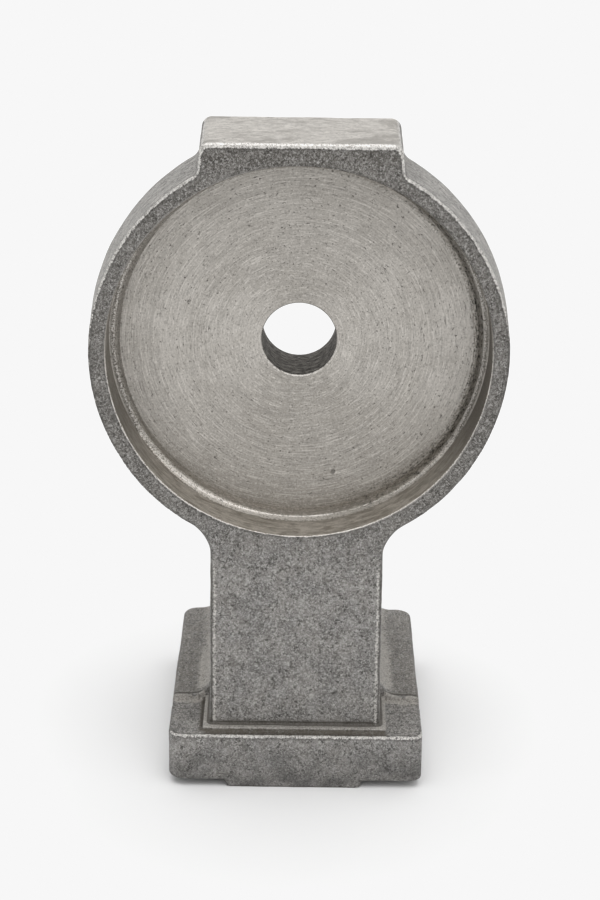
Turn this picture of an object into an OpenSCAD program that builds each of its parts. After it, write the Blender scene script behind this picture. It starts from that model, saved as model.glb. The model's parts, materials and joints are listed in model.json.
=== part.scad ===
// Pedestal cup bracket: a round cup with a through bore, standing on a stem and a keyed foot.
// +X is right, +Y is away from the open side of the cup, +Z is up.
// The origin is at the middle of the bounding box, on the plane that the foot's key rests on.

/* [Cup] */
// Outside diameter of the cup
cup_od = 88; // [80:1:100]
// Diameter of the turned recess in the cup's front
recess_d = 81; // [70:0.5:84]
// Depth of the recess
recess_depth = 11.5; // [6:0.5:16]
// Depth of the whole head, from front face to back face
head_depth = 26; // [20:0.5:36]
// Width of the bevel round the cup's back edge
back_bevel = 4; // [1:0.5:6]
// Diameter of the through bore in the cup's floor
bore_d = 16; // [8:0.5:30]
// Height of the bore's axis above the resting plane
axis_height = 97.7; // [90:0.1:120]

/* [Top pad] */
// Width of the flat pad on top of the cup
pad_w = 41.6; // [30:0.2:50]
// Height of the pad's flat top above the bore's axis
pad_rise = 45; // [43:0.1:52]

/* [Stem] */
// Width of the stem
stem_w = 37; // [28:0.5:44]
// Height above the resting plane where the stem's back starts to slope
slope_start = 58; // [50:1:70]
// Gap between the foot of the slope and the back end of the base
slope_gap = 2.5; // [1:0.5:10]

/* [Base] */
// Width of the base
base_w = 55.6; // [46:0.2:70]
// Length of the base, front to back
base_l = 70.8; // [50:0.2:90]
// Thickness of the base's lower front ledge
ledge_t = 10; // [6:0.5:16]
// How far the base reaches in front of the cup's front face
toe = 4; // [2:0.5:10]
// Distance from the front of the base to the step up to its rear part
ledge_l = 19.4; // [12:0.2:30]
// Height of that step, and of the plinth round the stem's foot
step_h = 1; // [0.5:0.1:3]
// How far the plinth stands out beyond the stem's sides
plinth_side = 1.5; // [0.5:0.1:4]
// How far the plinth stands out beyond the stem's front
plinth_front = 2; // [0.5:0.1:3]

/* [Locating key] */
// Width of the key under the base
key_w = 30; // [16:0.5:40]
// Height of the key
key_h = 2.2; // [1:0.1:5]

/* [Corners] */
// Radius of the base's upright corners
base_corner_r = 1.8; // [0.5:0.1:4]
// How far the stem flares out each side where it meets the cup
flare_w = 2.5; // [1:0.1:4]
// How far below the cup that flare starts
flare_drop = 5; // [3:0.5:8]

/* [Hidden] */

$fn = 96;
front_y = toe - base_l / 2;
floor_y = front_y + recess_depth;
back_y = front_y + head_depth;
base_front_y = -base_l / 2;
base_back_y = base_l / 2;
step_y = base_front_y + ledge_l;
ledge_z = key_h + ledge_t;
block_z = ledge_z + step_h;
pad_root_z = axis_height + cup_od / 4;
stem_top_z = axis_height - cup_od / 4;
flare_z = cup_z_at(stem_w / 2) - flare_drop;
slack = 1;

// Height of the underside of the cup at a distance x from its middle plane
function cup_z_at(x) = axis_height - sqrt(pow(cup_od / 2, 2) - pow(x, 2));

// A cylinder whose axis runs along +Y from plane y_from to plane y_to, on the bore's axis
module along_bore(d, y_from, y_to) {
  translate([0, y_from, axis_height])
    rotate([-90, 0, 0])
      cylinder(d = d, h = y_to - y_from);
}

// The cup's outer form as a solid of revolution, with its back edge bevelled
module cup_form() {
  translate([0, front_y, axis_height])
    rotate([-90, 0, 0])
      rotate_extrude()
        polygon([
          [0, 0],
          [cup_od / 2, 0],
          [cup_od / 2, head_depth - back_bevel],
          [cup_od / 2 - back_bevel, head_depth],
          [0, head_depth]
        ]);
}

// A block centred on X, between two planes of Y and two of Z
module block(w, y_from, y_to, z_from, z_to) {
  translate([-w / 2, y_from, z_from])
    cube([w, y_to - y_from, z_to - z_from]);
}

// The outline of the base in plan, with rounded corners
module base_plan() {
  translate([-base_w / 2 + base_corner_r, base_front_y])
    square([base_w - 2 * base_corner_r, base_l]);
  translate([-base_w / 2, base_front_y + base_corner_r])
    square([base_w, base_l - 2 * base_corner_r]);
  for (sx = [-1, 1])
    for (sy = [-1, 1])
      translate([sx * (base_w / 2 - base_corner_r), sy * (base_l / 2 - base_corner_r)])
        circle(r = base_corner_r);
}

// The stem seen from the front: a straight column that flares where it meets the cup
module stem_outline() {
  polygon([
    [-stem_w / 2, block_z],
    [stem_w / 2, block_z],
    [stem_w / 2, flare_z],
    [stem_w / 2 + flare_w, cup_z_at(stem_w / 2 + flare_w)],
    [stem_w / 2 + flare_w, stem_top_z],
    [-stem_w / 2 - flare_w, stem_top_z],
    [-stem_w / 2 - flare_w, cup_z_at(stem_w / 2 + flare_w)],
    [-stem_w / 2, flare_z]
  ]);
}

// The sloping back of the stem, seen from the side, behind the cup's back face
module slope_outline() {
  polygon([
    [back_y - back_bevel, block_z],
    [back_y - back_bevel, flare_z],
    [back_y, slope_start],
    [base_back_y - slope_gap, block_z]
  ]);
}

// Round wall that surrounds the turned recess
module cup_wall() {
  color("#7c7b77")
    difference() {
      along_bore(cup_od, front_y, floor_y);
      along_bore(recess_d, front_y - slack, floor_y + slack);
    }
}

// Disc that closes the back of the recess and holds the through bore
module cup_floor() {
  color("#a8a49d")
    difference() {
      cup_form();
      along_bore(cup_od + slack, front_y - slack, floor_y);
      along_bore(bore_d, floor_y - slack, back_y + slack);
    }
}

// Flat pad that stands up from the top of the cup, flush with its front and back
module top_pad() {
  color("#c5c2bb")
    difference() {
      block(pad_w, front_y, back_y, pad_root_z, axis_height + pad_rise);
      cup_form();
    }
}

// Column that joins the cup to the base, with a sloping back
module stem() {
  color("#7f7f7c")
    difference() {
      union() {
        translate([0, back_y, 0])
          rotate([90, 0, 0])
            linear_extrude(height = head_depth)
              stem_outline();
        translate([-stem_w / 2, 0, 0])
          rotate([90, 0, 90])
            linear_extrude(height = stem_w)
              slope_outline();
      }
      cup_form();
    }
}

// Low raised border round the front of the stem's foot
module plinth() {
  color("#94918b")
    block(stem_w + 2 * plinth_side, front_y - plinth_front, step_y, ledge_z, block_z);
}

// Lower front part of the base
module base_ledge() {
  color("#7f7f7c")
    intersection() {
      translate([0, 0, key_h])
        linear_extrude(height = ledge_t)
          base_plan();
      block(base_w, base_front_y, step_y, 0, block_z);
    }
}

// Higher rear part of the base
module base_block() {
  color("#79766f")
    intersection() {
      translate([0, 0, key_h])
        linear_extrude(height = ledge_t + step_h)
          base_plan();
      block(base_w, step_y, base_back_y, 0, block_z);
    }
}

// Straight key under the base, which drops into a slot or rests on a flat surface
module locating_key() {
  color("#757470")
    block(key_w, base_front_y, base_back_y, 0, key_h);
}

cup_wall();
cup_floor();
top_pad();
stem();
plinth();
base_ledge();
base_block();
locating_key();
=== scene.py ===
"""Looks of the pedestal cup bracket, a single tumbled casting with a turned recess and bore.

The casting is described by distance functions (negative inside the metal), meshed on a fine grid, cut with a
solid of revolution as a lathe would cut it, and then split where the solid model's sub-parts meet.
All lengths in the shape functions are millimetres in the model's frame; meshes are made in metres.
"""

import json
import math

import bpy
import numpy as np
from mathutils import Matrix, Vector


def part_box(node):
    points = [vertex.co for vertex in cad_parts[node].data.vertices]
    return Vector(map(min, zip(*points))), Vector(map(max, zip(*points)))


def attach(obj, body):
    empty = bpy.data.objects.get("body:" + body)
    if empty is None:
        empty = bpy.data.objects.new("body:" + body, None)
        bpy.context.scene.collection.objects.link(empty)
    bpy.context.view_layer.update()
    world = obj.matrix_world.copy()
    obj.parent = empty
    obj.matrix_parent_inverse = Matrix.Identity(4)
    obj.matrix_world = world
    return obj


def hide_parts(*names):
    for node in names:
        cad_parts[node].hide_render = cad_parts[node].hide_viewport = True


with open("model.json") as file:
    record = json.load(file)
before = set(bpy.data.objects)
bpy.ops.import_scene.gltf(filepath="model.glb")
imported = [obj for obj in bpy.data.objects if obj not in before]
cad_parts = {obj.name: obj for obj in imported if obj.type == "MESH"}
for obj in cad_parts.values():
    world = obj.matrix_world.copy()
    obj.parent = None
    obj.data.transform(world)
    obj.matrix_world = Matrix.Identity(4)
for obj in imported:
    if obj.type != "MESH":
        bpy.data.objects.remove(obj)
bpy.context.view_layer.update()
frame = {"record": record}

# ---------------------------------------------------------------- dimensions, in mm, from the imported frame

MM = 0.001


def box_mm(node):
    """Lowest and highest corner of a CAD node, in millimetres."""
    low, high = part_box(node)
    return np.array(low) / MM, np.array(high) / MM


mounts = {mount["name"]: mount for mount in frame["record"]["mounts"]}
bore_r = mounts["through_bore"]["dims"]["r_mm"]
recess_r = mounts["cup_recess"]["dims"]["r_mm"]
recess_depth = mounts["cup_recess"]["dims"]["length_mm"]
axis_z = mounts["through_bore"]["pos_m"][2] / MM

wall_low, wall_high = box_mm("cup_wall")
floor_high = box_mm("cup_floor")[1]
pad_low, pad_high = box_mm("top_pad")
stem_high = box_mm("stem")[1]
plinth_low, plinth_high = box_mm("plinth")
ledge_high = box_mm("base_ledge")[1]
block_high = box_mm("base_block")[1]
key_low, key_high = box_mm("locating_key")

front_y = wall_low[1]
floor_y = wall_high[1]
back_y = floor_high[1]
step_y = ledge_high[1]

# The cast cup is slightly larger than the solid model's, and the plinth stands out past the stem's sides
CUP_PROUD = 0.1
PLINTH_SIDE = 1.5
cup_r = round((wall_high[0] - wall_low[0]) / 2, 3) + CUP_PROUD
stem_half = round(plinth_high[0], 3) - PLINTH_SIDE

# Heights at which the casting is split into pieces, near where the solid model's nodes meet
neck_z = axis_z - cup_r - 0.9
pad_z = axis_z + recess_r + 0.75
foot_z = block_high[2] + 1.3
key_z = key_high[2] - 0.8

# Shape details that the solid model leaves out
GRID = 0.4
CUP_DRAFT = 0.030
CUP_SAG = 0.25
CUP_FRONT_ROUND = 0.4
CUP_BACK_ROUND = 11.0
PAD_DRAFT = 0.005
PAD_RISE = 0.2
PAD_FILLET = 0.7
PAD_FILLET_GROWTH = 0.7
PAD_TOP_ROUND = 2.0
PAD_FLARE = 0.08
PAD_FRONT_ROUND = 1.0
PAD_CORNER_ROUND = 0.9
STEM_EDGE_ROUND = 0.8
STEM_BACK_ROUND = 2.0
SLOPE_START_Z = 60.0
SLOPE_FOOT_GAP = 0.8
NECK_FILLET = 4.2
FOOT_FILLET = 4.5
PLINTH_FILLET = 0.5
PLINTH_CORNER_ROUND = 0.8
PLINTH_TOP_ROUND = 0.3
LEDGE_FILLET = 0.7
STEP_SLOPE = 0.3
STEP_ROUND = 0.3
BASE_CORNER_ROUND = 2.0
BASE_NARROWING = 0.15
BASE_TAPER = 0.0105
BASE_SHIFT = 0.12
BASE_SKEW = 0.0028
BASE_TOP_ROUND = 0.5
BASE_UNDER_DROP = 0.55
BASE_UNDER_ROUND = 0.35
BASE_UNDER_CORNER = 0.45
KEY_SLOPE = 0.3
KEY_SHIFT = -0.25
KEY_CORNER_ROUND = 0.5
KEY_UNDER_ROUND = 0.2
KEY_FILLET = 0.6
CAST_SEED = 7

# ---------------------------------------------------------------- distance functions


def round_max(a, b, r):
    """Meeting of two solids, with the outer edge between them rounded to radius r."""
    return np.minimum(-r, np.maximum(a, b)) + np.hypot(np.maximum(a + r, 0), np.maximum(b + r, 0))


def round_min(a, b, r):
    """Joining of two solids, with the inner corner between them filleted to radius r."""
    return np.maximum(r, np.minimum(a, b)) - np.hypot(np.maximum(r - a, 0), np.maximum(r - b, 0))


def ramp(value, start, end):
    """Smooth rise from 0 to 1 as value goes from start to end."""
    t = np.clip((value - start) / (end - start), 0, 1)
    return t * t * (3 - 2 * t)


def cup_solid(x, y, z):
    """The cup's disc, wider toward the back, with its rear edge well rounded."""
    depth = y - front_y
    radius = np.hypot(x, z - axis_z)
    outer = cup_r + CUP_DRAFT * depth + CUP_SAG * ramp(axis_z - z, 20, cup_r)
    return round_max(radius - outer, y - back_y, CUP_BACK_ROUND)


def pad_solid(x, y, z):
    """The raised pad on top of the cup."""
    depth = y - front_y
    half = (pad_high[0] - pad_low[0]) / 2 + 0.05 + PAD_DRAFT * depth + PAD_FLARE * (pad_high[2] - z)
    pad = round_max(np.abs(x) - half, y - back_y, PAD_TOP_ROUND)
    pad = round_max(pad, z - pad_high[2] - PAD_RISE, PAD_TOP_ROUND)
    return np.maximum(pad, axis_z + 15 - z)


def stem_solid(x, y, z):
    """The stem, whose back slopes out toward the rear of the foot."""
    slope_run = block_high[1] - SLOPE_FOOT_GAP - back_y
    slope_rise = SLOPE_START_Z - block_high[2]
    slope_len = math.hypot(slope_run, slope_rise)
    slope = ((y - back_y) * slope_rise + (z - SLOPE_START_Z) * slope_run) / slope_len
    stem = round_max(np.abs(x) - stem_half, slope, STEM_BACK_ROUND)
    return np.maximum(stem, z - (axis_z - 15))


def outline(x, y, z):
    """Cup, pad and stem joined, before their common front is faced off."""
    along = ramp(y, front_y + 2, back_y - 4)
    body = round_min(cup_solid(x, y, z), pad_solid(x, y, z), PAD_FILLET + PAD_FILLET_GROWTH * along)
    return round_min(body, stem_solid(x, y, z), NECK_FILLET)


def column_solid(x, y, z):
    """Cup, pad and stem with their flat front."""
    edge = CUP_FRONT_ROUND + (STEM_EDGE_ROUND - CUP_FRONT_ROUND) * ramp(stem_high[2] - z, 0, 8)
    edge = edge + (PAD_CORNER_ROUND - CUP_FRONT_ROUND) * ramp(z, pad_high[2] - 8, pad_high[2] - 6)
    edge = edge + (PAD_FRONT_ROUND - PAD_CORNER_ROUND) * ramp(z, pad_high[2] - 3, pad_high[2] - 1.5)
    column = round_max(outline(x, y, z), front_y - y, edge)
    return np.maximum(column, block_high[2] - 2.5 - z)


def plinth_solid(x, y, z):
    """The low platform round the stem's foot, in front of the step."""
    plinth = round_max(np.abs(x) - plinth_high[0], plinth_low[1] - y, PLINTH_CORNER_ROUND)
    plinth = round_max(plinth, z - plinth_high[2], PLINTH_TOP_ROUND)
    return np.maximum(plinth, np.maximum(key_high[2] + 2 - z, y - (step_y + 3)))


def base_plan(x, y):
    """The foot's outline seen from above, slightly narrower toward the rear."""
    along = y + block_high[1]
    half_x = block_high[0] - BASE_NARROWING - BASE_TAPER * along
    middle_x = BASE_SHIFT + BASE_SKEW * along
    corner = BASE_CORNER_ROUND + 1.5 * ramp(y, 0, 20) + 1.5 * ramp(-x, 0, 20) * ramp(-y, 0, 20)
    return round_max(np.abs(x - middle_x) - half_x, np.abs(y) - block_high[1], corner)


def base_slab(x, y, z, top, edge):
    """The foot as a slab of one height."""
    slab = round_max(base_plan(x, y), z - top, edge)
    under = BASE_UNDER_ROUND + BASE_UNDER_CORNER * ramp(np.abs(x), block_high[0] - 3, block_high[0])
    return round_max(slab, key_high[2] - BASE_UNDER_DROP - z, under)


def key_solid(x, y, z):
    """The long key under the foot, with sloping flanks."""
    half = key_high[0] + 0.1 - KEY_SLOPE * (key_high[2] - z)
    key = round_max(np.abs(x - KEY_SHIFT) - half, np.abs(y) - key_high[1], KEY_CORNER_ROUND)
    key = round_max(key, -z, KEY_UNDER_ROUND)
    return np.maximum(key, z - (key_high[2] + 3))


def casting_plain(x, y, z):
    """The whole casting before it is turned, with no surface roughness."""
    column = column_solid(x, y, z)
    ledge = base_slab(x, y, z, ledge_high[2], BASE_TOP_ROUND)
    front_part = round_min(ledge, plinth_solid(x, y, z), LEDGE_FILLET)
    front_part = round_min(front_part, column, PLINTH_FILLET)
    block = base_slab(x, y, z, block_high[2], BASE_TOP_ROUND + 0.5)
    rear_part = round_min(block, column, FOOT_FILLET)
    rear_part = round_max(rear_part, step_y - y + STEP_SLOPE * (z - block_high[2]), STEP_ROUND)
    rear_part = round_max(rear_part, y - block_high[1], BASE_TOP_ROUND)
    body = round_min(front_part, rear_part, 0.2)
    return round_min(body, key_solid(x, y, z), KEY_FILLET)


def strip(width, a, b):
    """How far, in mm, a point lies inside a strip of that width along the line where a and b are 0."""
    return width - np.maximum(np.abs(a), np.abs(b))


def rub_reach(x, y, z):
    """How far, in mm, a point lies inside the bright rubbed strip along an outer edge (negative outside)."""
    depth = y - front_y
    width = 0.14 + 0.46 * ramp(z, axis_z - 6, axis_z + 22)
    width = width + 0.45 * ramp(z, pad_high[2] - 2.4, pad_high[2] - 1.2)
    width = np.where(z < axis_z - cup_r, 0.05, width)
    head = strip(width, depth, outline(x, y, z))
    plan = base_plan(x, y)
    width = 0.12 + 0.42 * ramp(-y, block_high[1] - 4, block_high[1] - 1)
    ledge = strip(width * ramp(step_y - y, -1, 1), plan, ledge_high[2] - z)
    rear = strip(0.15, plan, block_high[2] - z)
    corner = strip(0.2, np.abs(x) - block_high[0], np.abs(y) - block_high[1])
    pad = strip(0.7, np.maximum(np.abs(x) - pad_high[0], y - back_y), pad_high[2] - z)
    width = 0.12 * ramp(axis_z - z, 0, 16)
    rim = strip(width, np.hypot(x, z - axis_z) - recess_r - RIM_BEVEL, depth)
    return np.max([head, ledge, rear, corner, pad, rim], axis=0)


def pale_share(x, y, z):
    """1 or more where the skin is made pale: rubbed wear on the plinth's rim, and painted light on the
    fillets and the step's lip.
    """
    column = column_solid(x, y, z)
    block = base_slab(x, y, z, block_high[2], BASE_TOP_ROUND)
    hollow = ramp(-np.maximum(column, block) / FOOT_FILLET, -1.1, -0.4) * ramp(y, step_y + 1, step_y + 4)
    hollow = hollow * (1 - 0.45 * ramp(y, 0, 16))

    on_foot = ramp(z, ledge_high[2] - 0.6, ledge_high[2] - 0.15) * (z < block_high[2] + 1)
    wave = 0.3 * np.sin(0.8 * x + 1) + 0.2 * np.sin(1.9 * x)
    lip = 2.0 * ramp(np.abs(y - step_y + 0.8 + wave), 1.4, 0.7) * on_foot * (np.abs(x) > plinth_high[0])
    patch = ramp(np.abs(x), block_high[0] - 6, block_high[0] - 1) * ramp(y, step_y - 5, step_y)
    patch = 0.6 * patch * on_foot * (y < step_y)

    level = np.abs(z - plinth_high[2])
    rim = ramp(np.maximum(np.abs(plinth_solid(x, y, z)), level), 0.5, 0.2) * (y < step_y)
    sides = ramp(np.abs(x), stem_half + 0.2, stem_half + 0.5) * ramp(level, 0.5, 0.2)
    sides = sides * (np.abs(x) < plinth_high[0]) * (y < step_y)
    return np.max([1.1 * hollow, lip, patch, rim, 0.8 * sides], axis=0)


def dirt_and_shade_reach(x, y, z):
    """How far, in mm, a point lies inside a dark strip: soiling and painted shade along an inner corner,
    painted contact shadow along the bottom (negative outside).
    """
    front = ramp(step_y - y, -0.2, 0.2)
    stem_foot = strip(0.8 * front, column_solid(x, y, z), z - plinth_high[2])
    left = (x < 1 - plinth_high[0]) * ramp(y, plinth_low[1], plinth_low[1] + 3)
    plinth_foot = strip((0.05 + 0.6 * left) * front, plinth_solid(x, y, z), z - ledge_high[2])
    behind = np.maximum(np.abs(y - step_y - 0.9) - 0.1, np.abs(z - block_high[2]) - 0.3)
    behind_step = 0.35 - np.maximum(behind, stem_half + 1.5 - np.abs(x))
    beside_pad = strip(0.35, cup_solid(x, y, z), pad_solid(x, y, z))
    # Painted contact shadow along the bottom, where the casting meets the floor.
    bottom = 0.3 - z
    return np.max([stem_foot, plinth_foot, behind_step, beside_pad, bottom], axis=0)


def plinth_shade_share(x, y, z):
    """1 on the strips of painted shade beside the plinth: in front of it, and along its left side."""
    ahead = ramp(plinth_low[1] + 0.5 - y, 0, 0.4) * ramp(plinth_high[2] - 0.15 - z, 0, 0.3)
    within = ramp(plinth_high[0] + 0.5 - np.abs(x), 0, 1) * ramp(z, ledge_high[2] - 0.5, ledge_high[2] - 0.1)
    left_side = ramp(-plinth_high[0] + 0.4 - x, 0, 0.3)
    left_side = left_side * ramp(x, -plinth_high[0] - 1.2, -plinth_high[0] - 0.6)
    left_side = left_side * ramp(plinth_high[2] - 0.15 - z, 0, 0.3) * (y < step_y - 1) * (y > plinth_low[1])
    return np.maximum(ahead * within, left_side)


def lattice_noise(points, scale, seed):
    """Smooth random field of about -1 to 1 that changes over a distance of scale."""
    rng = np.random.default_rng(seed)
    size = 32
    lattice = rng.uniform(-1, 1, (size, size, size)).astype(np.float32)
    q = points / scale
    cell = np.floor(q).astype(np.int64)
    f = (q - cell).astype(np.float32)
    f = f * f * f * (f * (f * 6 - 15) + 10)
    total = np.zeros(len(points), np.float32)
    for dx in (0, 1):
        for dy in (0, 1):
            for dz in (0, 1):
                weight = np.abs(1 - dx - f[:, 0]) * np.abs(1 - dy - f[:, 1]) * np.abs(1 - dz - f[:, 2])
                corner = lattice[(cell[:, 0] + dx) % size, (cell[:, 1] + dy) % size, (cell[:, 2] + dz) % size]
                total += weight * corner
    return total


def skin_relief(points):
    """How far the cast skin stands proud of its true form: slow waves and small lumps."""
    relief = 0.07 * lattice_noise(points, 14.0, CAST_SEED)
    relief += 0.04 * lattice_noise(points, 4.5, CAST_SEED + 1)
    relief += 0.03 * lattice_noise(points, 1.7, CAST_SEED + 2)
    return relief


def casting(points):
    """Distance to the casting's skin, roughness included."""
    return casting_plain(points[:, 0], points[:, 1], points[:, 2]) - skin_relief(points)


def unit(vectors):
    """The vectors at length 1."""
    return vectors / np.maximum(np.linalg.norm(vectors, axis=1, keepdims=True), 1e-9)


def gradient(distance, points, h):
    """Direction in which a distance function rises fastest, as unit vectors."""
    steps = ((1, -1, -1), (-1, -1, 1), (-1, 1, -1), (1, 1, 1))
    total = np.zeros_like(points)
    for step in steps:
        direction = np.array(step, float)
        total += distance(points + direction * h)[:, None] * direction
    return unit(total)


# ---------------------------------------------------------------- meshing


def sample_grid(low, high, step):
    """The plain casting's distance at every point of a regular grid."""
    axes = [np.arange(low[i], high[i] + step, step, dtype=np.float32) for i in range(3)]
    values = np.empty([len(a) for a in axes], np.float32)
    yy, zz = np.meshgrid(axes[1], axes[2], indexing="ij")
    for i, x in enumerate(axes[0]):
        values[i] = casting_plain(np.full_like(yy, x), yy, zz)
    return axes, values


SETTLE_ROUNDS = 10
JUST_INSIDE = -0.001


def settle(values):
    """Fills grid squares whose inside corners only meet diagonally, so that the net has no pinched edges."""
    for _ in range(SETTLE_ROUNDS):
        filled = 0
        for axis in range(3):
            plane = np.moveaxis(values, axis, 0)
            a, b = plane[:, :-1, :-1], plane[:, 1:, :-1]
            c, d = plane[:, 1:, 1:], plane[:, :-1, 1:]
            for one, two, other, last in ((a, c, b, d), (b, d, a, c)):
                pinched = (one < 0) & (two < 0) & (other >= 0) & (last >= 0)
                other[pinched] = JUST_INSIDE
                last[pinched] = JUST_INSIDE
                filled += np.count_nonzero(pinched)
        if not filled:
            return


def surface_net(low, high, step):
    """Vertices in mm and quads of the casting's surface, by the naive surface nets method."""
    axes, values = sample_grid(low, high, step)
    settle(values)
    inside = values < 0
    nx, ny, nz = values.shape
    count = np.zeros((nx - 1, ny - 1, nz - 1), np.int8)
    corners = [(a, b, c) for a in (0, 1) for b in (0, 1) for c in (0, 1)]
    for a, b, c in corners:
        count += inside[a:nx - 1 + a, b:ny - 1 + b, c:nz - 1 + c]
    cells = np.argwhere((count > 0) & (count < 8))
    number = np.full(count.shape, -1, np.int32)
    number[tuple(cells.T)] = np.arange(len(cells))

    total = np.zeros((len(cells), 3))
    hits = np.zeros(len(cells))
    for first in corners:
        for axis in range(3):
            if first[axis]:
                continue
            second = list(first)
            second[axis] = 1
            va = values[tuple((cells + first).T)]
            vb = values[tuple((cells + second).T)]
            cross = (va < 0) != (vb < 0)
            share = np.where(cross, va / np.where(va == vb, 1, va - vb), 0)
            point = np.repeat(np.array([first], float), len(cells), 0)
            point[:, axis] = share
            total += point * cross[:, None]
            hits += cross
    origin = np.array([a[0] for a in axes])
    verts = origin + (cells + total / hits[:, None]) * step

    quads = []
    for axis in range(3):
        u, v = (axis + 1) % 3, (axis + 2) % 3
        first = [slice(1, -1)] * 3
        second = [slice(1, -1)] * 3
        first[axis] = slice(0, -1)
        second[axis] = slice(1, None)
        before, after = inside[tuple(first)], inside[tuple(second)]
        for swap, edges in ((False, before & ~after), (True, ~before & after)):
            at = np.argwhere(edges)
            at[:, u] += 1
            at[:, v] += 1
            ring = []
            for du, dv in ((0, 0), (-1, 0), (-1, -1), (0, -1)):
                cell = at.copy()
                cell[:, u] += du
                cell[:, v] += dv
                ring.append(number[tuple(cell.T)])
            ring = ring[::-1] if swap else ring
            quads.append(np.stack(ring, 1))
    return verts, np.concatenate(quads)


def on_skin(points, rounds=4):
    """Moves points onto the rough skin."""
    for _ in range(rounds):
        normal = gradient(casting, points, 0.05)
        points = points - normal * casting(points)[:, None]
    return points


def mesh_object(name, verts_mm, faces, material):
    """A Blender mesh object from points in mm and a list of faces."""
    mesh = bpy.data.meshes.new(name)
    mesh.from_pydata((np.asarray(verts_mm) * MM).tolist(), [], faces)
    mesh.materials.append(material)
    obj = bpy.data.objects.new(name, mesh)
    bpy.context.scene.collection.objects.link(obj)
    return obj


def boolean(obj, tool, operation):
    """Cuts obj with tool, and removes the tool. The new faces keep the tool's material."""
    cut = obj.modifiers.new("cut", "BOOLEAN")
    cut.operation = operation
    cut.object = tool
    cut.solver = "MANIFOLD"
    cut.material_mode = "TRANSFER"
    depsgraph = bpy.context.evaluated_depsgraph_get()
    mesh = bpy.data.meshes.new_from_object(obj.evaluated_get(depsgraph))
    obj.modifiers.clear()
    old = obj.data
    obj.data = mesh
    bpy.data.meshes.remove(old)
    bpy.data.objects.remove(tool)


# The lathe's path, in mm. FLOOR_RINGS only divides the recess floor's mesh.
RIM_BEVEL = 0.15
GROOVE_DEPTH = 0.35
GROOVE_IN = 1.25
FLOOR_IN = 2.4
BORE_BEVEL = 0.2
CLEAR = 2.0
FLOOR_RINGS = 12


def lathe_path():
    """Outline of what the lathe takes away, as (radius, depth) from the cup's mouth to the bore's back."""
    total_depth = back_y - front_y
    groove_foot = recess_depth + GROOVE_DEPTH
    floor_edge = recess_r - FLOOR_IN
    bore_edge = bore_r + BORE_BEVEL
    path = [(0, -CLEAR), (recess_r + RIM_BEVEL + CLEAR, -CLEAR), (recess_r, RIM_BEVEL)]
    path += [(recess_r, recess_depth - 0.2)]
    path += [(recess_r - 0.05, groove_foot - 0.15), (recess_r - 0.2, groove_foot)]
    path += [(recess_r - GROOVE_IN, groove_foot), (floor_edge, recess_depth)]
    for i in range(1, FLOOR_RINGS):
        path.append((floor_edge + (bore_edge - floor_edge) * i / FLOOR_RINGS, recess_depth))
    path += [(bore_edge, recess_depth), (bore_r, recess_depth + BORE_BEVEL)]
    path += [(bore_r, total_depth - BORE_BEVEL), (bore_edge + CLEAR, total_depth + CLEAR)]
    path += [(0, total_depth + CLEAR)]
    return path


def lathe_tool(material):
    """The solid that the lathe takes away."""
    path = lathe_path()
    segments = 512
    verts = [(0, front_y + path[0][1], axis_z), (0, front_y + path[-1][1], axis_z)]
    rings = path[1:-1]
    for r, depth in rings:
        for i in range(segments):
            angle = 2 * math.pi * i / segments
            verts.append((r * math.cos(angle), front_y + depth, axis_z + r * math.sin(angle)))
    faces = []
    for i in range(segments):
        j = (i + 1) % segments
        faces.append((0, 2 + i, 2 + j))
        last = 2 + (len(rings) - 1) * segments
        faces.append((1, last + j, last + i))
        for k in range(len(rings) - 1):
            a = 2 + k * segments
            b = a + segments
            faces.append((a + j, a + i, b + i, b + j))
    return mesh_object("lathe_tool", verts, faces, material)


def block_tool(low, high, material):
    """A plain block used to split the casting."""
    (x0, y0, z0), (x1, y1, z1) = low, high
    verts = [(x, y, z) for x in (x0, x1) for y in (y0, y1) for z in (z0, z1)]
    faces = [(0, 1, 3, 2), (4, 6, 7, 5), (0, 4, 5, 1), (2, 3, 7, 6), (0, 2, 6, 4), (1, 5, 7, 3)]
    return mesh_object("block_tool", verts, faces, material)


# ---------------------------------------------------------------- materials

METALLIC = 0.6


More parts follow.
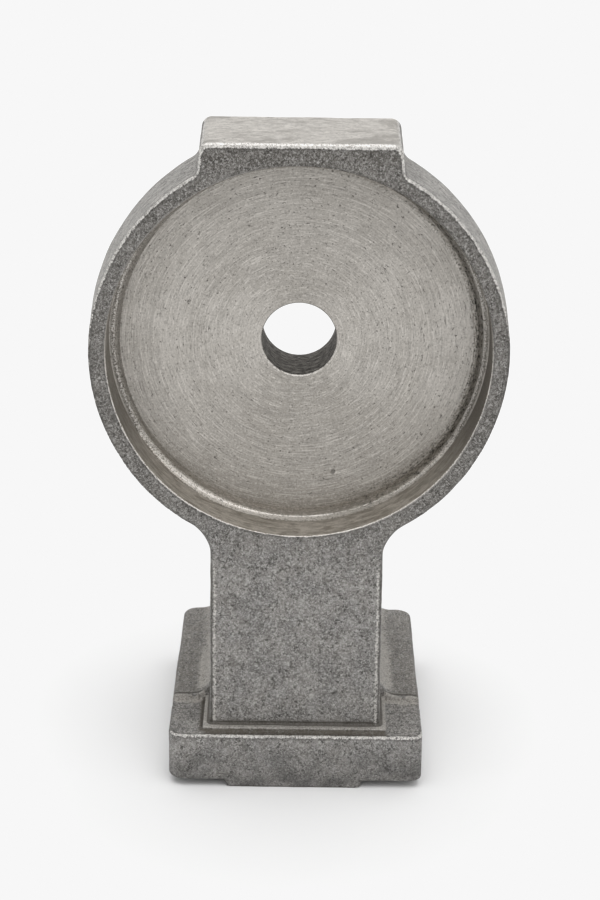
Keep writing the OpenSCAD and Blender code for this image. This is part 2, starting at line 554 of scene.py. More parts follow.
class Nodes:
    """Short calls for building a node material."""

    def __init__(self, name):
        self.material = bpy.data.materials.new(name)
        self.material.use_nodes = True
        self.tree = self.material.node_tree
        self.tree.nodes.clear()
        self.out = self.tree.nodes.new("ShaderNodeOutputMaterial")
        self.shader = self.tree.nodes.new("ShaderNodeBsdfPrincipled")
        self.tree.links.new(self.shader.outputs[0], self.out.inputs[0])
        coords = self.tree.nodes.new("ShaderNodeTexCoord")
        self.place = coords.outputs["Object"]

    def put(self, socket, value):
        """Links or sets an input."""
        if isinstance(value, bpy.types.NodeSocket):
            self.tree.links.new(value, socket)
        else:
            socket.default_value = value

    def new(self, kind, **values):
        """A new node, with the named inputs linked or set."""
        node = self.tree.nodes.new(kind)
        for name, value in values.items():
            self.put(node.inputs[name], value)
        return node

    def math(self, operation, a, b=0.0):
        """The result of a sum on one or two values."""
        node = self.new("ShaderNodeMath")
        node.operation = operation
        for socket, value in zip(node.inputs, (a, b)):
            self.put(socket, value)
        return node.outputs[0]

    def times(self, a, b):
        """a times b."""
        return self.math("MULTIPLY", a, b)

    def plus(self, a, b):
        """a plus b."""
        return self.math("ADD", a, b)

    def minus(self, a, b):
        """a minus b."""
        return self.math("SUBTRACT", a, b)

    def noise(self, size_mm, detail=3.0, rough=0.5, place=None, warp=0.0):
        """Noise whose features are about size_mm across."""
        scale = 1.0 / (size_mm * MM)
        node = self.new("ShaderNodeTexNoise", Vector=place or self.place, Scale=scale, Detail=detail,
                        Roughness=rough, Distortion=warp)
        return node.outputs[0]

    def spots(self, size_mm):
        """Distance to scattered points that are about size_mm apart."""
        node = self.new("ShaderNodeTexVoronoi", Vector=self.place, Scale=1.0 / (size_mm * MM))
        return node.outputs["Distance"]

    def step(self, value, start, end, low=0.0, high=1.0):
        """Smooth change from low to high as value goes from start to end."""
        node = self.new("ShaderNodeMapRange", Value=value)
        node.interpolation_type = "SMOOTHSTEP"
        for key, number in (("From Min", start), ("From Max", end), ("To Min", low), ("To Max", high)):
            node.inputs[key].default_value = number
        return node.outputs[0]

    def mix(self, share, a, b):
        """Colour a where share is 0 and b where it is 1."""
        node = self.new("ShaderNodeMix")
        node.data_type = "RGBA"
        for index, value in ((0, share), (6, a), (7, b)):
            self.put(node.inputs[index], value)
        return node.outputs[2]

    def attribute(self, name):
        """What mark_wear_and_shade stored under that name."""
        node = self.new("ShaderNodeAttribute")
        node.attribute_name = name
        return node.outputs["Fac"]

    def bump(self, height, distance_mm, strength=1.0):
        """Normals for a relief of that height."""
        node = self.new("ShaderNodeBump", Height=height, Distance=distance_mm * MM, Strength=strength)
        return node.outputs[0]

    def place_parts(self):
        """The place's x, y and z, in metres."""
        return self.new("ShaderNodeSeparateXYZ", Vector=self.place).outputs[:3]

    def turning(self):
        """Radius about the axis and depth behind the cup's front, in mm, and direction about the axis."""
        x, y, above_floor = self.place_parts()
        z = self.minus(above_floor, axis_z * MM)
        radius = self.math("SQRT", self.plus(self.times(x, x), self.times(z, z)))
        across = self.math("DIVIDE", x, radius)
        upward = self.math("DIVIDE", z, radius)
        radius_mm = self.math("DIVIDE", radius, MM)
        depth_mm = self.math("DIVIDE", self.minus(y, front_y * MM), MM)
        return radius_mm, depth_mm, across, upward

    def ringed(self, turning, streak_mm, grain_mm, at_mm=30.0):
        """A vector whose noise of size grain_mm runs in arcs about streak_mm long at radius at_mm."""
        radius_mm, depth_mm, across, upward = turning
        reach = at_mm * grain_mm / streak_mm * MM
        along = self.times(self.plus(radius_mm, depth_mm), MM)
        return self.vector(self.times(across, reach), along, self.times(upward, reach))

    def vector(self, x, y, z):
        """One vector from three values."""
        return self.new("ShaderNodeCombineXYZ", X=x, Y=y, Z=z).outputs[0]

    def stretched(self, sx, sy, sz):
        """The place vector scaled by axis, for streaks."""
        return self.new("ShaderNodeMapping", Vector=self.place, Scale=(sx, sy, sz)).outputs[0]

    def finish(self, color, roughness, metallic, normal):
        """Sets the shader's inputs and gives back the material."""
        self.put(self.shader.inputs["Base Color"], color)
        self.put(self.shader.inputs["Roughness"], roughness)
        self.put(self.shader.inputs["Metallic"], metallic)
        self.put(self.shader.inputs["Normal"], normal)
        return self.material


def grey(value, warm=0.07):
    """A grey of that brightness, warmer as warm rises."""
    return (value * (1 + 0.6 * warm), value, value * (1 - 0.85 * warm), 1.0)


def centred(n, value, size):
    """Noise value shifted to run from about -size/2 to size/2."""
    return n.times(n.minus(value, 0.5), size)


def skin_ground(n, cloud):
    """Cloudy grey with darker and lighter blotches a few millimetres wide."""
    tone = n.mix(n.step(cloud, 0.36, 0.64), grey(0.19, 0.055), grey(0.265, 0.075))
    blotch = n.noise(2.4, 4.0, 0.65, warp=0.4)
    tone = n.mix(n.step(blotch, 0.5, 0.36, 0.0, 0.42), tone, grey(0.12, 0.1))
    return n.mix(n.step(blotch, 0.53, 0.66, 0.0, 0.3), tone, grey(0.5, 0.03))


def skin_flank(n, turning, head, tone):
    """The cup's outer side: painted lighter, standing in for light from above, with dark and light streaks
    that run from front to back.
    """
    radius_mm, depth_mm, across, upward = turning
    flank = n.times(n.step(depth_mm, 0.4, 1.0), n.step(depth_mm, 19.0, 13.0))
    flank = n.times(flank, n.step(radius_mm, cup_r - 1.5, cup_r - 0.8))
    flank = n.times(flank, head)
    # Painted light: the whole outer side is made lighter, standing in for light from above.
    tone = n.mix(n.times(flank, 0.6), tone, grey(0.5, 0.06))
    squeeze = 3.5 * MM
    round_cup = n.vector(n.times(across, squeeze), n.times(depth_mm, MM), n.times(upward, squeeze))
    streak = n.noise(0.28, 4.0, 0.75, place=round_cup, warp=0.3)
    dark_streak = n.times(n.step(streak, 0.53, 0.42), flank)
    tone = n.mix(n.times(dark_streak, 0.75), tone, grey(0.12))
    light_streak = n.times(n.step(streak, 0.53, 0.62), flank)
    return n.mix(n.times(light_streak, 0.6), tone, grey(0.85))


def skin_grain(n, grain, coarse, cloud, head_front, height_mm, tone):
    """Light specks, fine light threads and dark pits, and painted shade that darkens the foot toward the
    floor.
    """
    speck = n.times(n.step(grain, 0.48, 0.66), n.step(head_front, 0.0, 1.0, 0.72, 0.6))
    tone = n.mix(speck, tone, grey(0.6, 0.04))
    fibre = n.noise(1.3, 3.0, 0.6, warp=1.3)
    thread = n.step(n.math("ABSOLUTE", n.minus(fibre, 0.5)), 0.03, 0.008, 0.0, 0.4)
    tone = n.mix(thread, tone, grey(0.62, 0.04))
    pit = n.step(n.plus(grain, centred(n, coarse, 0.6)), 0.46, 0.34)
    tone = n.mix(n.times(pit, 0.75), tone, grey(0.05, 0.12))
    # Painted shade: below the ledge's height the skin darkens toward the floor.
    low = n.times(n.step(height_mm, ledge_high[2], 1.0), n.step(cloud, 0.62, 0.4, 0.45, 1.0))
    return n.mix(n.times(low, 0.62), tone, grey(0.08, 0.06))


def foot_tops(n, coarse, tone):
    """The foot's upper faces: dark and light grains, and a browner rear part."""
    shelf = n.attribute("shelf")
    gravel = n.noise(0.45, 3.0, 0.75, place=n.stretched(1.0, 0.4, 1.0), warp=0.8)
    tone = n.mix(n.times(shelf, n.step(gravel, 0.46, 0.36, 0.0, 0.65)), tone, grey(0.05, 0.2))
    tone = n.mix(n.times(shelf, n.step(gravel, 0.54, 0.66, 0.0, 0.55)), tone, grey(0.6, 0.1))
    rear_top = n.times(n.attribute("rear_top"), n.step(coarse, 0.35, 0.6))
    return n.mix(n.times(rear_top, 0.35), tone, grey(0.15, 0.22))


def rubbed_lit_and_shaded(n, grain, coarse, tone):
    """Pale fillets, lip and plinth rim, partly rubbed wear and partly painted light; then painted shade in
    crevices and on the strips beside the plinth, soiling and painted shade in inner corners, and a painted
    contact shadow along the bottom.
    """
    pale = n.plus(n.attribute("pale"), n.plus(centred(n, grain, 0.6), centred(n, coarse, 0.9)))
    # The pale tone is rubbed wear on the plinth's rim and painted light on the fillets and the step's lip.
    rubbed = n.mix(n.step(grain, 0.35, 0.6), grey(0.28, 0.12), grey(0.62, 0.08))
    tone = n.mix(n.times(n.step(pale, 0.3, 0.85), 0.7), tone, rubbed)
    # Painted shade: darker where the crevice value is high, as shade falls in hollows.
    crevice_shade = n.step(n.plus(n.attribute("crevice"), centred(n, coarse, 0.5)), 0.15, 0.7)
    crevice_shade = n.times(crevice_shade, n.step(pale, 0.8, 0.2))
    tone = n.mix(n.times(crevice_shade, 0.4), tone, grey(0.1, 0.2))
    # Painted shade beside the plinth, in front of it and along its left side.
    plinth_shade_mask = n.times(n.attribute("toe"), n.step(coarse, 0.3, 0.55, 0.5, 0.8))
    tone = n.mix(plinth_shade_mask, tone, grey(0.09, 0.28))
    # Soiling and painted shade in inner corners, and a painted contact shadow along the bottom.
    dirt = n.step(n.plus(n.attribute("dirt"), centred(n, grain, 0.5)), -0.08, 0.2)
    return n.mix(n.times(dirt, 0.75), tone, grey(0.05, 0.25))


def polished_top(n):
    """Smooth rubbed metal with smears, stains and dark flecks, for the pad's top."""
    smear = n.noise(0.7, 4.0, 0.75, place=n.stretched(0.35, 0.7, 1.0), warp=0.4)
    tone = n.mix(n.step(smear, 0.36, 0.66), grey(0.5, 0.09), grey(0.74, 0.08))
    stain = n.noise(5.0, 5.0, 0.7, place=n.stretched(0.5, 0.7, 1.0), warp=0.6)
    tone = n.mix(n.step(stain, 0.53, 0.38, 0.0, 0.65), tone, grey(0.3, 0.12))
    fleck = n.noise(0.35, 3.0, 0.75, place=n.stretched(0.7, 0.5, 1.0), warp=0.5)
    return n.mix(n.step(fleck, 0.42, 0.32, 0.0, 0.7), tone, grey(0.2, 0.12))


def worn_edges(n, grain, coarse, ground, tone):
    """Bright ragged strips along the outer edges, with dark lines beside them. Gives tone and the strips."""
    ragged = n.plus(centred(n, grain, 0.7), centred(n, coarse, 0.6))
    ragged = n.plus(n.attribute("rub"), ragged)
    shade = n.times(n.step(ragged, -0.5, -0.15), n.step(ragged, 0.15, -0.05))
    shade = n.times(shade, n.step(ground, 0.5, 0.0))
    tone = n.mix(n.times(shade, 0.4), tone, grey(0.07, 0.1))
    soft = n.step(n.plus(n.attribute("edge"), centred(n, grain, 0.5)), 0.22, 0.5)
    tone = n.mix(n.times(soft, 0.35), tone, grey(0.5))
    wear = n.step(ragged, 0.0, 0.2)
    bright = n.mix(n.step(grain, 0.4, 0.56), grey(0.34), grey(0.85, 0.05))
    return n.mix(n.times(wear, 0.9), tone, bright), wear


def stem_edges(n, grain, facing, side_mm, height_mm, tone):
    """A dark line and a row of bright beads down both edges of the stem's front."""
    ripple = n.noise(0.8, 4.0, 0.75, warp=0.6)
    past_edge = n.minus(n.plus(side_mm, centred(n, ripple, 1.6)), stem_half)
    upright = n.times(facing, n.step(height_mm, neck_z, neck_z - 4.0))
    upright = n.times(upright, n.step(height_mm, plinth_high[2], plinth_high[2] + 0.8))
    score = n.times(n.step(n.math("ABSOLUTE", n.plus(past_edge, 0.35)), 0.3, 0.1), upright)
    tone = n.mix(n.times(score, 0.6), tone, grey(0.06, 0.2))
    beads = n.times(n.step(n.math("ABSOLUTE", n.plus(past_edge, 0.95)), 0.34, 0.14), upright)
    beads = n.times(beads, n.step(grain, 0.42, 0.56, 0.1, 0.85))
    return n.mix(beads, tone, grey(0.7, 0.06))


def cast_skin():
    """Tumbled cast skin: fine grain, cloudy patches, painted shade in crevices, corners and low on the foot,
    painted light on the cup's side and fillets, and bright worn edges.
    """
    n = Nodes("cast_skin")
    grain = n.noise(0.4, 3.0, 0.75, warp=0.8)
    coarse = n.noise(1.0, 3.0, 0.6, warp=0.5)
    cloud = n.noise(6.0, 4.0, 0.6)
    turning = n.turning()
    depth_mm = turning[1]
    x, _, z = n.place_parts()
    height_mm = n.math("DIVIDE", z, MM)
    side_mm = n.math("ABSOLUTE", n.math("DIVIDE", x, MM))

    head = n.step(height_mm, axis_z - cup_r - 8, axis_z - cup_r + 14)
    facing = n.step(depth_mm, 0.6, 0.2)
    head_front = n.times(head, facing)
    # The head's front face is made darker, most on the pad's face.
    darkening = n.times(head_front, n.step(height_mm, pad_z - 2, pad_z, 0.65, 0.86))
    tone = n.mix(darkening, skin_ground(n, cloud), grey(0.09, 0.15))
    tone = skin_flank(n, turning, head, tone)
    tone = skin_grain(n, grain, coarse, cloud, head_front, height_mm, tone)
    tone = foot_tops(n, coarse, tone)
    tone = rubbed_lit_and_shaded(n, grain, coarse, tone)
    ground = n.attribute("ground")
    tone = n.mix(ground, tone, polished_top(n))
    tone, wear = worn_edges(n, grain, coarse, ground, tone)
    tone = stem_edges(n, grain, facing, side_mm, height_mm, tone)

    rough = n.step(n.plus(wear, ground), 0.0, 1.0, 0.6, 0.42)
    height = n.plus(grain, n.times(coarse, 0.9))
    height = n.times(height, n.step(ground, 0.0, 1.0, 1.0, 0.15))
    return n.finish(tone, rough, METALLIC, n.bump(height, 0.3, 1.0))


def floor_rings(n, turning, grain):
    """The recess floor's tone, turned rings on cloudy grey with a painted reflection of the turning, and the
    arcs in it.
    """
    across, upward = turning[2], turning[3]
    fine = n.noise(0.25, 3.0, 0.75, place=n.ringed(turning, 0.9, 0.25))
    arcs = n.noise(0.3, 4.0, 0.7, place=n.ringed(turning, 6.0, 0.3))
    bands = n.noise(2.0, 3.0, 0.6, place=n.ringed(turning, 22.0, 2.0))
    cloud = n.noise(8.0, 3.0, 0.55)
    tone = n.mix(n.step(cloud, 0.36, 0.64), grey(0.43, 0.1), grey(0.49, 0.09))
    # Painted reflection of the turning: darker toward the top and bottom than at the sides, and darker again
    # toward the bottom.
    painted_sheen = n.minus(n.math("ABSOLUTE", across), n.math("ABSOLUTE", upward))
    tone = n.mix(n.step(painted_sheen, -1.0, 1.0, 0.45, 0.0), tone, grey(0.3, 0.11))
    tone = n.mix(n.step(upward, -0.3, -1.0, 0.0, 0.3), tone, grey(0.26, 0.14))
    tone = n.mix(n.step(bands, 0.52, 0.36, 0.0, 0.3), tone, grey(0.3, 0.1))
    tone = n.mix(n.step(arcs, 0.52, 0.66, 0.0, 0.55), tone, grey(0.7, 0.08))
    tone = n.mix(n.step(arcs, 0.46, 0.34, 0.0, 0.5), tone, grey(0.22, 0.1))
    tone = n.mix(n.step(fine, 0.46, 0.3, 0.0, 0.6), tone, grey(0.15, 0.12))
    tone = n.mix(n.step(grain, 0.53, 0.68, 0.0, 0.35), tone, grey(0.75, 0.08))
    tone = n.mix(n.step(grain, 0.44, 0.32, 0.0, 0.4), tone, grey(0.17, 0.12))
    return tone, arcs


def floor_marks(n, turning, grain, tone):
    """Short scratches, then small pits, spots and a few dents. Gives the tone and how deep each place is."""
    scratch = n.noise(0.25, 2.0, 0.6, place=n.ringed(turning, 2.6, 0.25))
    tone = n.mix(n.step(scratch, 0.34, 0.28, 0.0, 0.75), tone, grey(0.08, 0.12))
    hollow = n.noise(0.45, 3.0, 0.65, place=n.ringed(turning, 0.7, 0.45))
    pit = n.step(hollow, 0.36, 0.3)
    tone = n.mix(n.times(pit, 0.75), tone, grey(0.07, 0.12))
    spread = n.noise(3.0, 2.0, 0.5)
    spot = n.step(n.minus(centred(n, spread, 0.7), n.spots(1.4)), -0.02, 0.08)
    tone = n.mix(n.times(spot, 0.8), tone, grey(0.05, 0.12))
    dent = n.step(n.plus(n.spots(8.0), centred(n, grain, 0.12)), 0.075, 0.05)
    dent = n.times(dent, n.step(n.noise(15.0, 1.0, 0.5), 0.5, 0.54))
    tone = n.mix(n.times(dent, 0.75), tone, grey(0.12, 0.12))
    return tone, n.plus(pit, n.plus(spot, dent))


def recess_wall(n, turning, grain, tone):
    """The recess's side: brownish and mottled, with painted shade at the sides, deepest on the right, and a
    ragged bright lip painted as a highlight low down.
    """
    radius_mm, depth_mm, across, upward = turning
    wall = n.step(radius_mm, recess_r - 0.3, recess_r - 0.1)
    wall = n.times(wall, n.step(depth_mm, recess_depth + 0.2, recess_depth - 0.2))
    mottle = n.noise(1.3, 5.0, 0.7, place=n.ringed(turning, 3.5, 1.3, 40.0), warp=0.5)
    walled = n.mix(n.step(mottle, 0.36, 0.64), grey(0.27, 0.2), grey(0.62, 0.12))
    walled = n.mix(n.step(grain, 0.44, 0.32, 0.0, 0.5), walled, grey(0.12, 0.2))
    tone = n.mix(n.times(wall, 0.9), tone, walled)
    # Painted shade on the wall's sides, deepest on the right, which faces away from the light.
    side_shade = n.times(wall, n.step(upward, -0.9, -0.3))
    tone = n.mix(n.times(side_shade, n.step(across, -0.5, 0.5, 0.72, 0.95)), tone, grey(0.1, 0.2))
    # Painted highlight: the ragged lip is bright only on the lower half of the mouth.
    lip = n.plus(depth_mm, centred(n, grain, 2.4))
    lip = n.times(n.step(lip, 0.3, 0.12), wall)
    return n.mix(n.times(lip, n.step(upward, 0.3, -0.3)), tone, grey(0.82))


def foot_distances(n, turning, grain, arcs):
    """Ragged distances, in mm inward, from the wall's foot, from the light line and from the band of soiling
    and painted shade.

    At the bottom of the recess all three start part of the way up the wall.
    """
    radius_mm, depth_mm, across, upward = turning
    above = n.math("MAXIMUM", n.minus(recess_depth, depth_mm), 0.0)
    along = n.minus(n.minus(recess_r, radius_mm), above)
    along = n.minus(along, n.step(upward, -1.0, -0.35, -2.1, 0.9))
    along = n.plus(along, n.plus(centred(n, grain, 2.8), centred(n, arcs, 1.2)))
    light_width = n.plus(n.step(upward, -0.95, -0.4, 1.6, 0.0), n.step(across, -0.6, 0.5, 1.0, 0.55))
    dark_width = n.plus(n.step(upward, -0.95, -0.5, 1.3, 0.0), n.step(across, -0.9, 0.5, 0.3, 1.6))
    past_light = n.minus(along, light_width)
    return along, past_light, n.minus(past_light, dark_width)


def dirt_and_shade_band(n, turning, gritty, past_light, past_dark, tone):
    """Brown soiling and painted shade inward of the light line, the shade strongest low down and on the
    right, with light and black grit. It fades out slowly at the bottom.
    """
    across, upward = turning[2], turning[3]
    fade = n.step(upward, -0.8, -0.3, 2.4, 0.4)
    fading = n.minus(1.0, n.step(n.math("DIVIDE", past_dark, fade), -0.6, 1.0))
    dirt_and_shade_mask = n.times(n.step(past_light, -0.1, 0.15), fading)
    # Painted shade: the band is darker low down and on the right, where the groove faces away from the light.
    strength = n.plus(n.step(upward, 0.4, -0.3, 0.15, 0.35), n.step(across, 0.0, 0.8, 0.05, 0.3))
    tone = n.mix(n.times(dirt_and_shade_mask, strength), tone, grey(0.1, 0.28))
    light_grit = n.times(n.step(gritty, 0.52, 0.62, 0.0, 0.4), dirt_and_shade_mask)
    tone = n.mix(light_grit, tone, grey(0.55, 0.12))
    black_grit = n.minus(gritty, n.step(across, 0.1, 0.8, 0.0, 0.09))
    black_grit = n.times(n.step(black_grit, 0.39, 0.32, 0.0, 0.9), dirt_and_shade_mask)
    return n.mix(black_grit, tone, grey(0.02, 0.15))


def light_line(n, turning, grain, gritty, along, past_light, tone):
    """The ragged light line at the wall's foot, worn metal with a painted highlight that is brightest low
    down and on the left, and a painted shade line on its outer side.
    """
    across, upward = turning[2], turning[3]
    light = n.times(n.step(along, -0.12, 0.12), n.step(past_light, 0.12, -0.12))
    # Painted highlight: the worn line is brightest low down and on the left, which face the light.
    shine = n.times(n.step(upward, 0.1, -0.9, 0.5, 1.0), n.step(across, 0.6, -0.3, 0.65, 1.0))
    glint = n.plus(grain, n.times(n.step(upward, -0.5, -0.85), 0.08))
    worn = n.mix(n.step(glint, 0.42, 0.58), grey(0.34, 0.14), grey(0.95, 0.06))
    tone = n.mix(n.times(light, shine), tone, worn)
    breaks = n.times(n.step(gritty, 0.43, 0.36, 0.0, 0.8), light)
    tone = n.mix(breaks, tone, grey(0.06, 0.15))
    # Painted shade in the corner on the line's outer side.
    corner_shade_line = n.step(n.math("ABSOLUTE", n.plus(along, 0.3)), 0.28, 0.1)
    corner_shade_line = n.times(corner_shade_line, n.step(upward, -0.95, -0.6, 0.25, 0.75))
    return n.mix(corner_shade_line, tone, grey(0.07, 0.25))


def bore_side(n, turning, grain, tone):
    """The bore's side, streaked and painted dark as the shade inside it, darkest just inside the mouth, with
    a thin painted highlight low on its mouth. Gives tone and mask.
    """
    radius_mm, depth_mm, _, upward = turning
    bore = n.step(radius_mm, bore_r + 0.1, bore_r + 0.02)
    worn = n.noise(0.5, 5.0, 0.8, place=n.ringed(turning, 1.6, 0.5, bore_r), warp=0.6)
    # Painted shade: the bore's side is coloured dark, standing in for the shade inside it.
    bored = n.mix(n.step(worn, 0.4, 0.6), grey(0.04, 0.14), grey(0.3, 0.1))
    bored = n.mix(n.step(worn, 0.56, 0.68, 0.0, 0.6), bored, grey(0.65, 0.08))
    tone = n.mix(n.times(bore, 0.95), tone, bored)
    # Painted shade, deepest just inside the mouth.
    inner = n.step(n.plus(depth_mm, centred(n, grain, 1.6)), recess_depth + 1.0, recess_depth + 0.4)
    tone = n.mix(n.times(n.times(bore, inner), 0.75), tone, grey(0.03, 0.15))
    # Painted highlight: a thin bright edge on the mouth, strongest low down.
    mouth = n.math("ABSOLUTE", n.minus(radius_mm, bore_r + BORE_BEVEL / 2))
    mouth = n.step(n.plus(mouth, centred(n, grain, 1.6)), 0.2, 0.08)
    front = n.step(depth_mm, recess_depth + BORE_BEVEL + 0.1, recess_depth + BORE_BEVEL)
    mouth = n.times(mouth, front)
    tone = n.mix(n.times(mouth, n.step(upward, 0.3, -0.5, 0.1, 0.9)), tone, grey(0.8))
    return tone, bore


def turned_face():
    """Lathe-turned metal: the recess's floor and wall, the band of soiling, painted shade and painted
    highlight between them, and the bore.
    """
    n = Nodes("turned_face")
    turning = n.turning()
    grain = n.noise(0.4, 3.0, 0.7)
    tone, arcs = floor_rings(n, turning, grain)
    tone, pits = floor_marks(n, turning, grain, tone)
    tone = recess_wall(n, turning, grain, tone)

    gritty = n.noise(0.5, 4.0, 0.8, place=n.ringed(turning, 0.8, 0.5), warp=0.5)
    along, past_light, past_dark = foot_distances(n, turning, grain, arcs)
    tone = dirt_and_shade_band(n, turning, gritty, past_light, past_dark, tone)
    tone = light_line(n, turning, grain, gritty, along, past_light, tone)
    tone, bore = bore_side(n, turning, grain, tone)
    height = n.minus(n.times(n.plus(arcs, grain), 0.5), pits)
    rough = n.plus(n.step(grain, 0.3, 0.7, 0.5, 0.4), n.times(bore, 0.4))
    return n.finish(tone, rough, METALLIC, n.bump(height, 0.12, 0.8))


cast_material = cast_skin()
turned_material = turned_face()

# ---------------------------------------------------------------- the casting

# The grid reaches past the casting by MARGIN, in mm, and by 1 mm more on the right
MARGIN = 1.6
grid_low = np.array([-cup_r, key_low[1], 0.0]) - MARGIN
grid_high = np.array([cup_r + 1, block_high[1], pad_high[2]]) + MARGIN
net_verts, net_quads = surface_net(grid_low, grid_high, GRID)
whole = mesh_object("casting", on_skin(net_verts), net_quads.tolist(), cast_material)
boolean(whole, lathe_tool(turned_material), "DIFFERENCE")


def vertex_places(obj):
    """Places of the vertices, in mm."""
    places = np.empty(len(obj.data.vertices) * 3, np.float32)
    obj.data.vertices.foreach_get("co", places)
    return places.reshape(-1, 3).astype(float) / MM


def corner_data(obj):
    """Vertex and face number of each face corner, then normal and material number of each face."""
    mesh = obj.data
    corner = np.empty(len(mesh.loops), np.int32)
    mesh.loops.foreach_get("vertex_index", corner)
    totals = np.empty(len(mesh.polygons), np.int32)
    mesh.polygons.foreach_get("loop_total", totals)
    face = np.repeat(np.arange(len(totals)), totals)
    normals = np.empty(len(mesh.polygons) * 3, np.float32)
    mesh.polygons.foreach_get("normal", normals)
    slot = np.empty(len(mesh.polygons), np.int32)
    mesh.polygons.foreach_get("material_index", slot)
    return corner, face, normals.reshape(-1, 3).astype(float), slot


def from_axis(points):
    """Unit vectors, in X and Z, that point from the bore's axis to the points."""
    return unit(points[:, [0, 2]] - (0, axis_z))


def ring_normals(places, corner, face, face_normals):
    """Normals at the face corners that are smooth round the bore's axis."""
    centre = np.zeros((face.max() + 1, 3))
    np.add.at(centre, face, places[corner])
    centre /= np.bincount(face)[:, None]
    outward = np.sum(from_axis(centre) * face_normals[:, [0, 2]], axis=1)[face]
    own = from_axis(places[corner])
    return np.stack([own[:, 0] * outward, face_normals[face][:, 1], own[:, 1] * outward], 1)


# A corner takes the skin's normal if it is this near the skin, in mm, and its face looks about the same way
NEAR_SKIN = 0.02
SAME_WAY = 0.6


def smooth_normals(obj):
    """Gives cast faces the skin's own normals, and turned faces normals that are smooth round the axis."""
    places = vertex_places(obj)
    corner, face, face_normals, slot = corner_data(obj)
    skin = gradient(casting, places, 0.08)[corner]
    result = face_normals[face]
    is_turned = [material.name == turned_material.name for material in obj.data.materials]
    turned = np.array(is_turned)[slot][face]
    near = np.abs(casting(places))[corner] < NEAR_SKIN
    same_way = np.sum(skin * result, axis=1) > SAME_WAY
    use_skin = ~turned & near & same_way
    result[use_skin] = skin[use_skin]
    result[turned] = ring_normals(places, corner, face, face_normals)[turned]
    obj.data.shade_smooth()
    obj.data.normals_split_custom_set(unit(result).astype(np.float32))


def turned_space(points):
    """Rough distance to what the lathe took away, as two cylinders: negative inside the recess or bore."""
    radius = np.hypot(points[:, 0], points[:, 2] - axis_z)
    depth = points[:, 1] - front_y
    recess = np.maximum(radius - recess_r, depth - recess_depth)
    return np.minimum(recess, radius - bore_r)


def finished(points):
    """Distance to the finished part, casting and turning together, with no roughness."""
    plain = casting_plain(points[:, 0], points[:, 1], points[:, 2])
    return np.maximum(plain, -turned_space(points))


# How far under and over the skin an edge or a crevice is felt for, in mm
EDGE_REACH = 0.7
CREVICE_REACH = 2.2


def mark_wear_and_shade(obj):
    """Stores how each vertex is worn, soiled, filleted or ground flat, and where light and shade are painted,
    for the materials to read.
    """
    places = vertex_places(obj)
    skin = gradient(finished, places, 0.3)
    edge = (finished(places - skin * EDGE_REACH) + EDGE_REACH) / EDGE_REACH
    crevice = (CREVICE_REACH - finished(places + skin * CREVICE_REACH)) / CREVICE_REACH
    x, y, z = places.T
    values = {
        "edge": np.clip(edge, 0, 1),
        "crevice": np.clip(crevice, 0, 1),
        "ground": ramp(z - PAD_RISE, pad_high[2] - 0.7, pad_high[2] - 0.25),
        "rub": np.maximum(rub_reach(x, y, z), -2),
        "dirt": np.maximum(dirt_and_shade_reach(x, y, z), -2),
        "pale": pale_share(x, y, z),
        "shelf": ramp(skin[:, 2], 0.6, 0.9) * (z < foot_z),
        "toe": plinth_shade_share(x, y, z),
        "rear_top": ramp(y, step_y, step_y + 1) * ramp(np.abs(z - block_high[2]), 1.2, 0.6),
    }
    for name, value in values.items():
        attribute = obj.data.attributes.new(name, "FLOAT", "POINT")
        attribute.data.foreach_set("value", value.astype(np.float32))


# Each visual piece: its corners, the solid model's nodes that it replaces, and a finish name, which nothing
# reads.
# The plinth and the ledge share a piece because a fillet runs across them.
FAR = 90.0
regions = {
    "cup_front": ((-FAR, -FAR, neck_z), (FAR, floor_y, pad_z), ("cup_wall",), "cast_skin"),
    "cup_back": ((-FAR, floor_y, neck_z), (FAR, FAR, pad_z), ("cup_floor",), "turned_face"),
    "pad": ((-FAR, -FAR, pad_z), (FAR, FAR, 2 * FAR), ("top_pad",), "pad_skin"),
    "column": ((-FAR, -FAR, foot_z), (FAR, FAR, neck_z), ("stem",), "cast_skin"),
    "foot_front": ((-FAR, -FAR, key_z), (FAR, step_y, foot_z), ("base_ledge", "plinth"), "cast_skin"),
    "foot_rear": ((-FAR, step_y, key_z), (FAR, FAR, foot_z), ("base_block",), "cast_skin"),
    "key": ((-FAR, -FAR, -FAR), (FAR, FAR, key_z), ("locating_key",), "cast_skin"),
}
for name, (region_low, region_high, nodes, finish) in regions.items():
    piece = whole.copy()
    piece.data = whole.data.copy()
    piece.name = name
    piece.data.name = name
    bpy.context.scene.collection.objects.link(piece)
    boolean(piece, block_tool(region_low, region_high, cast_material), "INTERSECT")
    smooth_normals(piece)
    mark_wear_and_shade(piece)
    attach(piece, "root")
    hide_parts(*nodes)
bpy.data.objects.remove(whole)

# ---------------------------------------------------------------- camera, floor and light

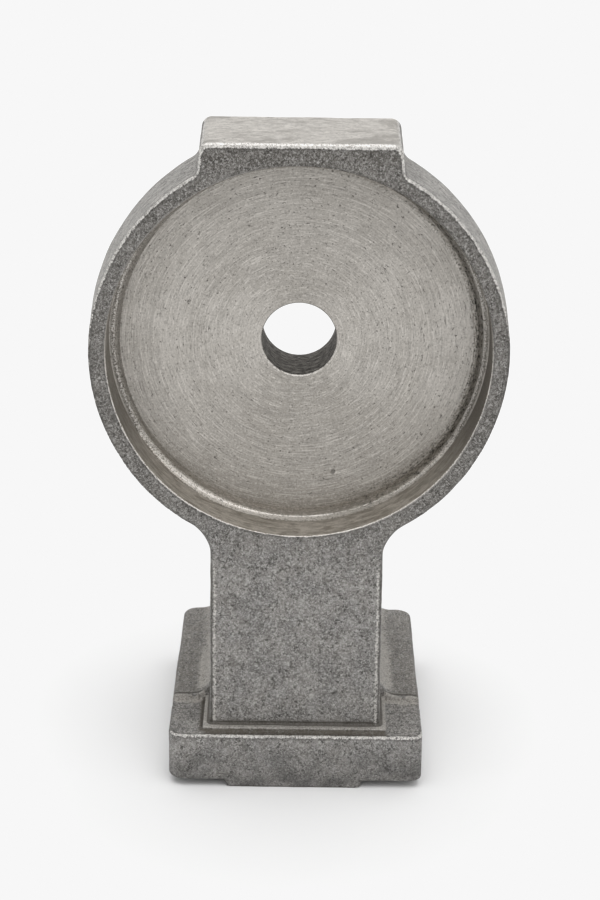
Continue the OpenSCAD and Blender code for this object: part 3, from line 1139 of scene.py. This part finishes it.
# The camera stands in front of the cup and looks down at it. Distances in metres, angles in radians.
CAMERA_BACK = 0.5977
CAMERA_UP = 0.1905
CAMERA_PITCH = 0.340
CAMERA_YAW = 0.00075
CAMERA_ROLL = 0.012
LENS_MM = 120.0
SENSOR_MM = 36.0
camera_data = bpy.data.cameras.new("camera")
camera_data.lens = LENS_MM
camera_data.sensor_width = SENSOR_MM
camera_data.sensor_fit = "AUTO"
camera_data.clip_start = 0.01
camera = bpy.data.objects.new("camera", camera_data)
level = Vector((math.sin(CAMERA_YAW), math.cos(CAMERA_YAW), 0))
look = level * math.cos(CAMERA_PITCH) - Vector((0, 0, math.sin(CAMERA_PITCH)))
right = Vector((math.cos(CAMERA_YAW), -math.sin(CAMERA_YAW), 0))
up = right.cross(look)
tilted_right = right * math.cos(CAMERA_ROLL) + up * math.sin(CAMERA_ROLL)
tilted_up = up * math.cos(CAMERA_ROLL) - right * math.sin(CAMERA_ROLL)
turn = Matrix((tilted_right, tilted_up, -look)).transposed().to_4x4()
camera.matrix_world = Matrix.Translation((0, front_y * MM - CAMERA_BACK, axis_z * MM + CAMERA_UP)) @ turn
bpy.context.scene.collection.objects.link(camera)
bpy.context.scene.camera = camera


def pale_floor():
    """A wide pale floor with a very faint mottle."""
    n = Nodes("pale_floor")
    tone = n.noise(120.0, 2.0, 0.5)
    color = n.mix(tone, grey(0.935, 0.0), grey(0.945, 0.0))
    return n.finish(color, 0.95, 0.0, n.bump(tone, 0.05, 0.1))


FLOOR_HALF = 6000.0
corners = [(-FLOOR_HALF, -FLOOR_HALF, 0), (FLOOR_HALF, -FLOOR_HALF, 0), (FLOOR_HALF, FLOOR_HALF, 0)]
corners.append((-FLOOR_HALF, FLOOR_HALF, 0))
floor = mesh_object("floor", corners, [(0, 1, 2, 3)], pale_floor())


def soft_sun(name, toward, strength, spread):
    """A distant light as wide as a softbox, in the direction toward. spread is in degrees."""
    data = bpy.data.lights.new(name, "SUN")
    data.energy = strength
    data.angle = math.radians(spread)
    light = bpy.data.objects.new(name, data)
    light.rotation_euler = Vector(toward).to_track_quat("Z", "Y").to_euler()
    bpy.context.scene.collection.objects.link(light)


soft_sun("overhead", (0.03, 0.1, 1.0), 1.2, 75)
soft_sun("front", (0.1, -1.0, 1.2), 0.7, 60)

WORLD_STRENGTH = 0.645
world = bpy.data.worlds.new("studio")
world.use_nodes = True
background = world.node_tree.nodes["Background"]
background.inputs["Color"].default_value = (1, 1, 1, 1)
background.inputs["Strength"].default_value = WORLD_STRENGTH
bpy.context.scene.world = world

# White is held just under full, as in a studio picture on pale paper
PAPER_WHITE = 0.93
view = bpy.context.scene.view_settings
view.view_transform = "Standard"
view.look = "None"
view.use_curve_mapping = True
view.curve_mapping.extend = "HORIZONTAL"
view.curve_mapping.curves[3].points[1].location = (1.0, PAPER_WHITE)
view.curve_mapping.update()
